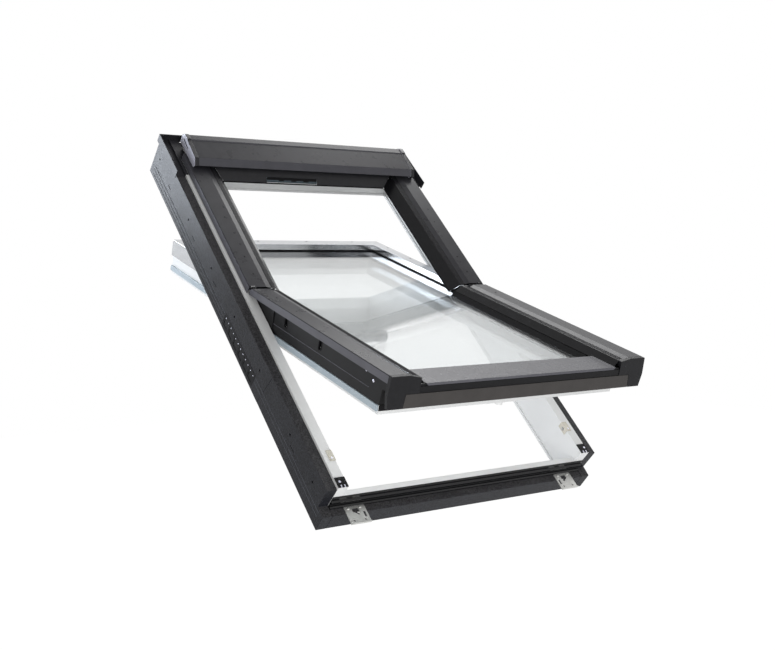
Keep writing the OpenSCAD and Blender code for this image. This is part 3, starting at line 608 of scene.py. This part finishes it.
def join(name, meshes, body, node=None):
    """One piece from meshes on a drawing board. It shows a solid, or is new and takes a slot's finish."""
    shape = bmesh.new()
    mats = []
    for mesh in meshes:
        mesh.transform(BOARD[body])
        done = len(shape.faces)
        shape.from_mesh(mesh)
        shape.faces.ensure_lookup_table()
        mat = mesh.materials[-1]
        if mat not in mats:
            mats.append(mat)
        for face in shape.faces[done:]:
            face.material_index = mats.index(mat)
    bmesh.ops.recalc_face_normals(shape, faces=shape.faces)
    whole = bpy.data.meshes.new(name)
    shape.to_mesh(whole)
    shape.free()
    for mat in mats:
        whole.materials.append(mat)
    piece = to_piece(name, whole, body)
    if node:
        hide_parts(node)


print("inputs of a row:", [label for label, kind in COMMON + A_ROW])

# %% [markdown]
# ## Screw and rivet heads
# A roof window is screwed and riveted together from outside, and dozens of small heads show.
# One head is modelled: a low dome with a cross pressed into it, or a plain rivet without.
# The solids of the heads mark where they sit and how large they are, so no place is typed again.

# %% One head
DOME = ((1, 0), (1, 0.35), (0.93, 0.62), (0.75, 0.85), (0.55, 0.97))
CROWN = (0.2, 1.0)
ARM_IN, ARM_OUT = 0.14, 0.32
CROSS_TAPER, CROSS_FLOOR = 0.8, 0.3


def head_shape(name, cross, steps=32):
    """A head of radius 1 and height 1, standing on the drawing plane."""
    rings = [[point] * steps for point in DOME]
    if cross:
        arms = [ARM_IN + ARM_OUT * abs(math.cos(4 * math.pi * k / steps)) ** 3 for k in range(steps)]
        rings += [[(a, 1.0) for a in arms], [(a * CROSS_TAPER, CROSS_FLOOR) for a in arms]]
    else:
        rings.append([CROWN] * steps)
    verts = [(r * math.cos(2 * math.pi * k / steps), r * math.sin(2 * math.pi * k / steps), high)
             for ring in rings for k, (r, high) in enumerate(ring)]
    last = steps * (len(rings) - 1)
    faces = [(a + k, a + (k + 1) % steps, a + steps + (k + 1) % steps, a + steps + k)
             for a in range(0, last, steps) for k in range(steps)]
    faces += [range(last, last + steps), range(steps - 1, -1, -1)]
    mesh = bpy.data.meshes.new(name)
    mesh.from_pydata(verts, [], faces)
    mesh.shade_smooth()
    return bpy.data.objects.new(name, mesh)


cross_head = head_shape("cross_head", True)
rivet_head = head_shape("rivet_head", False)
print("head faces:", len(cross_head.data.polygons), len(rivet_head.data.polygons))

# %% Where the heads sit
def seats(node, body):
    """Lowest and highest corner and corner count of each separate solid of a node, on its board."""
    shape = bmesh.new()
    shape.from_mesh(nodes[node].data)
    bmesh.ops.remove_doubles(shape, verts=shape.verts, dist=WELD)
    shape.transform(BOARD[body].inverted())
    left = set(shape.verts)
    found = []
    while left:
        group = set()
        front = [left.pop()]
        while front:
            vert = front.pop()
            group.add(vert)
            for link in vert.link_edges:
                other = link.other_vert(vert)
                if other in left:
                    left.remove(other)
                    front.append(other)
        low = [min(v.co[i] for v in group) for i in range(3)]
        high = [max(v.co[i] for v in group) for i in range(3)]
        found.append((low, high, len(group)))
    shape.free()
    return found


print("seats of the cover screws:", len(seats("frame_cover_screws", "frame")))

# %% Heads on their seats
ROUND_FROM = 20
QUARTER = math.pi / 2


def heads(name, node, body, piece, mat, flat_mat=None):
    """Modelled heads in the seats of a node's round solids. Those on the flats can have a second finish."""
    groups = {}
    for low, high, count in seats(node, body):
        if count < ROUND_FROM:
            continue
        size = [high[i] - low[i] for i in range(3)]
        mid = [(low[i] + high[i]) / 2 for i in range(3)]
        if size[2] < size[0]:
            lean, radius, tall = 0.0, size[0] / 2, size[2]
            seat = (mid[0], mid[1], low[2])
        elif low[0] > 0:
            lean, radius, tall = QUARTER, size[1] / 2, size[0]
            seat = (low[0], mid[1], mid[2])
        else:
            lean, radius, tall = -QUARTER, size[1] / 2, size[0]
            seat = (high[0], mid[1], mid[2])
        groups.setdefault((lean, round(radius, 2), round(tall, 2)), []).append(seat)
    meshes = []
    for (lean, radius, tall), places in groups.items():
        paint = mat if lean else flat_mat or mat
        meshes.append(grow(SET, places, {"Piece": piece, "Turn": (0.0, lean, 0.0),
                                         "Size": (radius, radius, tall), "Finish": paint}))
    join(name, meshes, body, node)
    print(name, sum(len(places) for places in groups.values()))


heads("cover_screw_heads", "frame_cover_screws", "frame", cross_head, dark_head)
heads("sash_screw_heads", "sash_screws", "sash", cross_head, bright_head, dark_head)
heads("striker_screw_heads", "striker_screws", "frame", cross_head, bright_head)
heads("bracket_screw_heads", "bracket_screws", "frame", cross_head, galvanised)
heads("fixing_rivet_heads", "fixing_rivets", "frame", rivet_head, zinc_plate)

# %% [markdown]
# ## Ribbed bands
# The bands inside the covers' slopes are rolled with fine cross ribs, which stiffen the thin
# sheet. A black strip paints the shade in the groove that parts them from the flats. Rolled ribs
# could be a bump in the finish, but real ones keep their edge when seen from low down. A band is a
# row: one rib, a count and a step.

# %% Ribs on the covers
RIB = ((-6.2, -0.3), (6.2, -0.3), (5.6, 0.5), (-5.6, 0.5))
RIB_HALF, RIB_STEP, RIB_LEAN = 0.9, 4.0, 0.133
RIB_X, RIB_DROP, RIB_INSET = 290.6, 5.0, 2
GROOVE_SHADE_X, GROOVE_SHADE_DROP = 297.6, 4.05
COVERS = (("frame", 27.7, 14.0, 503.0), ("sash", 0.0, -594.0, -14.0))


def bar(name, profile, start, end):
    """A bar with a profile in (x, n), drawn up the slope from start to end."""
    count = len(profile)
    verts = [(x, s, n) for s in (start, end) for x, n in profile]
    faces = [(k, (k + 1) % count, count + (k + 1) % count, count + k) for k in range(count)]
    faces += [range(count - 1, -1, -1), range(count, 2 * count)]
    mesh = bpy.data.meshes.new(name)
    mesh.from_pydata(verts, [], faces)
    return bpy.data.objects.new(name, mesh)


def strip(name, half, low, high, start, end):
    """A bar with a rectangular profile."""
    return bar(name, [(-half, low), (half, low), (half, high), (-half, high)], start, end)


rib = bar("rib", RIB, -RIB_HALF, RIB_HALF)
for body, top, low, high in COVERS:
    meshes = []
    # A black strip along the groove beside the ribs: painted shade.
    edge_line = strip("edge_line", half=0.8, low=-0.2, high=0.12, start=low, end=high)
    for sign in SIDES:
        band = {"Start": (sign * RIB_X, low + RIB_INSET, top - RIB_DROP), "Step": (0.0, RIB_STEP, 0.0),
                "Count": int((high - low) / RIB_STEP), "Turn": (0.0, -sign * RIB_LEAN, 0.0)}
        meshes.append(grow(ROW, [], {"Piece": rib, "Finish": rib_coat, **band}))
        meshes.append(grow(SET, [(sign * GROOVE_SHADE_X, 0.0, top - GROOVE_SHADE_DROP)],
                           {"Piece": edge_line, "Finish": soft_black}))
    join(body + "_cover_ribs", meshes, body)
print("ribbed bands:", made[-2:])

# %% [markdown]
# ## Lines and painted shade on the insulation
# The fixing plates in the sides of the insulation are moulded as open cells, and the mould
# leaves fine lines along the blocks. Thin bars show both: they stand out by about a third of a
# millimetre, which is enough to be seen. The black bars between the cells and along the plate's
# edge are painted shade in the cells' grooves and the painted shadow of the recess.

# %% Painted shade between the cells, painted shadow along the plate, and moulded lines
SIDE_X, LINE_SIDE_X, MARK_HALF = 390.0, 389.9, 0.35
PLATE_LOW, PLATE_HIGH, PLATE_SHADOW_N = -190.0, 10.0, -60.0
CELL_SHADE_N, CELL_SHADES, CELL_SHADE_STEP = -76.0, 7, 33.33
UPPER_LINES, LOWER_LINES = (-64.5, -76.5), (-62.0, -74.0)

# Black bars between the cells and along the plate's edge: painted shade and painted shadow.
cell_wall = strip("cell_wall", MARK_HALF, low=-15, high=9, start=-1.4, end=1.4)
plate_border = strip("plate_border", MARK_HALF, low=-1.8, high=1.8, start=PLATE_LOW, end=PLATE_HIGH)
upper_line = strip("upper_line", MARK_HALF, low=-0.5, high=0.5, start=16.0, end=566.0)
lower_line = strip("lower_line", MARK_HALF, low=-0.5, high=0.5, start=-572.0, end=-196.0)
meshes = []
for sign in SIDES:
    cell_shades = {"Count": CELL_SHADES, "Start": (sign * SIDE_X, PLATE_LOW, CELL_SHADE_N), "Step": (0.0, CELL_SHADE_STEP, 0.0)}
    meshes.append(grow(ROW, [], {"Piece": cell_wall, "Finish": soft_black, **cell_shades}))
    meshes.append(grow(SET, [(sign * SIDE_X, 0.0, PLATE_SHADOW_N)], {"Piece": plate_border, "Finish": soft_black}))
    for piece, levels in ((upper_line, UPPER_LINES), (lower_line, LOWER_LINES)):
        places = [(sign * LINE_SIDE_X, 0.0, n) for n in levels]
        meshes.append(grow(SET, places, {"Piece": piece, "Finish": foam_line}))
join("insulation_marks", meshes, "frame")
print("marks:", made[-1])

# %% [markdown]
# ## Beaded draught strips
# A beaded strip runs along each side of the sash, in the narrow gap to the frame. One bead is a
# coarse rivet head, because there are two hundred of them and each is under 3 mm wide.

# %% Beads in a row
SHELL_X = 336.4
BEADS, BEAD_STEP, BEAD_SIZE = 103, -4.0, (1.3, 1.3, 0.8)
BEAD_START, BEAD_N = -98.0, -60.0

bead = head_shape("bead", False, steps=8)
meshes = []
for sign in SIDES:
    beads = {"Count": BEADS, "Start": (sign * SHELL_X, BEAD_START, BEAD_N), "Step": (0.0, BEAD_STEP, 0.0),
             "Turn": (0.0, sign * QUARTER, 0.0), "Size": BEAD_SIZE}
    meshes.append(grow(ROW, [], {"Piece": bead, "Finish": bead_grey, **beads}))
join("sash_draught_strips", meshes, "sash")
print("beads:", BEADS * len(SIDES))

# %% [markdown]
# ## Lips and baffles at the pivot
# Where the covers of frame and sash part at the pivot, a dark lip on the sash meets a dark
# baffle under the frame's sheet, so no daylight shows in the gap and nothing touches when the
# sash turns. A lip is a thin plate that follows the cover's slope, so it is made from rows of
# points across it.

# %% A plate from rows of points
def plate(name, top, thick, mat):
    """A plate from rows of points. Each row is a list of (x, s, n) on its upper side."""
    wide = len(top[0])
    count = len(top) * wide
    verts = [p for row in top for p in row] + [(x, s, n - thick) for row in top for x, s, n in row]
    faces = []
    for a in range(len(top) - 1):
        for b in range(wide - 1):
            k = a * wide + b
            faces.append((k, k + 1, k + wide + 1, k + wide))
            faces.append((count + k, count + k + wide, count + k + wide + 1, count + k + 1))
    rim = (list(range(wide)) + [a * wide + wide - 1 for a in range(1, len(top))]
           + [count - 1 - b for b in range(1, wide)] + [a * wide for a in range(len(top) - 2, 0, -1)])
    faces += [(rim[k - 1], rim[k], count + rim[k], count + rim[k - 1]) for k in range(len(rim))]
    mesh = bpy.data.meshes.new(name)
    mesh.from_pydata(verts, [], faces)
    mesh.materials.append(mat)
    return mesh


sample = plate("sample", [[(x, s, 0) for s in (0, 1)] for x in (0, 1)], 1, soft_black)
print("faces of the plainest plate:", len(sample.polygons))
bpy.data.meshes.remove(sample)

# %% Lips and baffles
LIP_LINE = ((339, -9.6), (300, -9.6), (296, -9.6), (284, -9.9), (272, -20.2), (264, -28.2))
LIP_LOW, LIP_FOLD, LIP_END, LIP_THICK = -6.0, -2.0, 0.6, 1.0
SLOPE_X, REACH_START, REACH_SLOPE = 290, 2.7, 0.531
BAFFLE = ((338, 14.3), (338, 26.0), (313, 26.0), (298, 22.0), (298, 14.3))
BAFFLE_LOW, BAFFLE_HIGH = 12.0, 13.2


def reach(depth):
    """How far a lip at this depth under the pivot has to run to stay under the frame's sheet."""
    return REACH_START + REACH_SLOPE * depth


meshes = []
for sign in SIDES:
    rows = []
    for x, n in LIP_LINE:
        end = reach(-n - PIVOT_DROP) if x < SLOPE_X else LIP_END
        rows.append([(sign * x, s, n) for s in (LIP_LOW, LIP_FOLD, end)])
    meshes.append(plate("lip", rows, LIP_THICK, soft_black))
join("pivot_lips", meshes, "sash")
baffle = bar("baffle", BAFFLE, BAFFLE_LOW, BAFFLE_HIGH)
meshes = [grow(SET, [(0.0, 0.0, 0.0)], {"Piece": baffle, "Size": (sign, 1.0, 1.0), "Finish": soft_black})
          for sign in SIDES]
join("pivot_baffles", meshes, "frame")
print("at the pivot:", made[-2:])

# %% [markdown]
# ## End board and catch lugs
# A dark board closes the lower end of the white profile behind the end caps. A bar and three
# lugs stand on the catch plate at the head. All are plates with straight sides, which need no
# more than their corners.

# %% Board and lugs
BOARD_HALF, BOARD_LOW, BOARD_HIGH = 333, -549.2, -548.2
BOARD_TOP, BOARD_DEEP = -49.6, 32.8
CATCH_S, CATCH_N, CATCH_SLOPE = 439.0, -2.6, 0.889
CATCH_BAR = (-127.0, 31.0, 445.6, 450.2)
LUG_HALF, LUG_LOW, LUG_HIGH, LUG_THICK = 8.0, 443.6, 445.6, 0.8
LUG_PLACES = (-82.0, -43.0, -4.0)


def on_catch(x0, x1, s0, s1):
    """A thin dark block on the catch plate of the head."""
    rows = [[(x, s, CATCH_SLOPE * (s - CATCH_S) + CATCH_N) for s in (s0, s1)] for x in (x0, x1)]
    return plate("lug", rows, LUG_THICK, soft_black)


rows = [[(sign * BOARD_HALF, s, BOARD_TOP) for s in (BOARD_LOW, BOARD_HIGH)] for sign in SIDES]
join("sash_end_board", [plate("board", rows, BOARD_DEEP, dull_plastic)], "sash")
lugs = [on_catch(*CATCH_BAR)]
lugs += [on_catch(x - LUG_HALF, x + LUG_HALF, LUG_LOW, LUG_HIGH) for x in LUG_PLACES]
join("catch_lugs", lugs, "frame")
print("board and lugs:", made[-2:])

# %% [markdown]
# ## Rims of the slots
# The sides of the sash have long slots with a round lower end, and a pressed rim stiffens each.
# The rim is a path in the shape of a U, swept with a section of four corners. Two slots on each
# side share it through the tree that sets a piece on points.

# %% Slot rims
SLOT_RADIUS, SLOT_LONG, SLOT_N = 6.2, 22, -46.0
SLOT_PLACES = (-153.0, -307.0)
ARC_STEPS = 12
RIM_EDGES = ((1.0, 0.9), (1.25, 0.5))

arc = [math.pi * (1 + k / ARC_STEPS) for k in range(ARC_STEPS + 1)]
path = [(-SLOT_RADIUS, SLOT_LONG)]
path += [(SLOT_RADIUS * math.cos(a), SLOT_RADIUS * math.sin(a)) for a in arc]
path += [(SLOT_RADIUS, SLOT_LONG)]
verts = []
for wider, tall in RIM_EDGES:
    for s, n in path:
        depth = n * wider if n < 0 else n
        verts += [(0.0, s * wider, depth), (tall, s * wider, depth)]
steps = len(path)
faces = []
for k in range(steps - 1):
    a, b, c, d = 2 * k, 2 * k + 1, 2 * (steps + k), 2 * (steps + k) + 1
    faces += [(a, a + 2, b + 2, b), (b, b + 2, d + 2, d), (d, d + 2, c + 2, c), (c, c + 2, a + 2, a)]
last, outer = 2 * (steps - 1), 2 * steps
faces += [(0, 1, outer + 1, outer), (last, last + outer, last + outer + 1, last + 1)]
rim_mesh = bpy.data.meshes.new("slot_rim")
rim_mesh.from_pydata(verts, [], faces)
rim = bpy.data.objects.new("slot_rim", rim_mesh)
meshes = [grow(SET, [(sign * SHELL_X, s, SLOT_N) for s in SLOT_PLACES],
               {"Piece": rim, "Size": (sign, 1.0, 1.0), "Finish": shell_coat}) for sign in SIDES]
join("slot_rims", meshes, "sash")
print("rims:", len(SLOT_PLACES) * len(SIDES))

# %% [markdown]
# ## What stays as it is
# Gaskets, panes, hinge halves and lock bars are right as solids. They only take their finish.
# The panes cast no shadow, because clear glass dims the light so little.

# %% Finishes on the plain solids
PLAIN = {
    # The black of the fixing plates is partly their own colour and partly painted shade of the recess they
    # sit in.
    soft_black: ("frame_cover_gasket", "sash_cover_gasket", "glazing_gasket") + both("fixing_plate"),
    pane: ("glass_outer", "glass_inner"),
    spacer_grey: ("glass_spacer",),
    black_zinc: both("frame_hinge") + both("sash_hinge"),
    zinc_plate: both("lock_bar"),
    bright_head: ("corner_fasteners",),
}
for mat, names in PLAIN.items():
    for node in names:
        for seat in nodes[node].material_slots:
            seat.material = mat
for node in PLAIN[pane]:
    nodes[node].visible_shadow = False
print("plain solids:", sum(len(names) for names in PLAIN.values()))
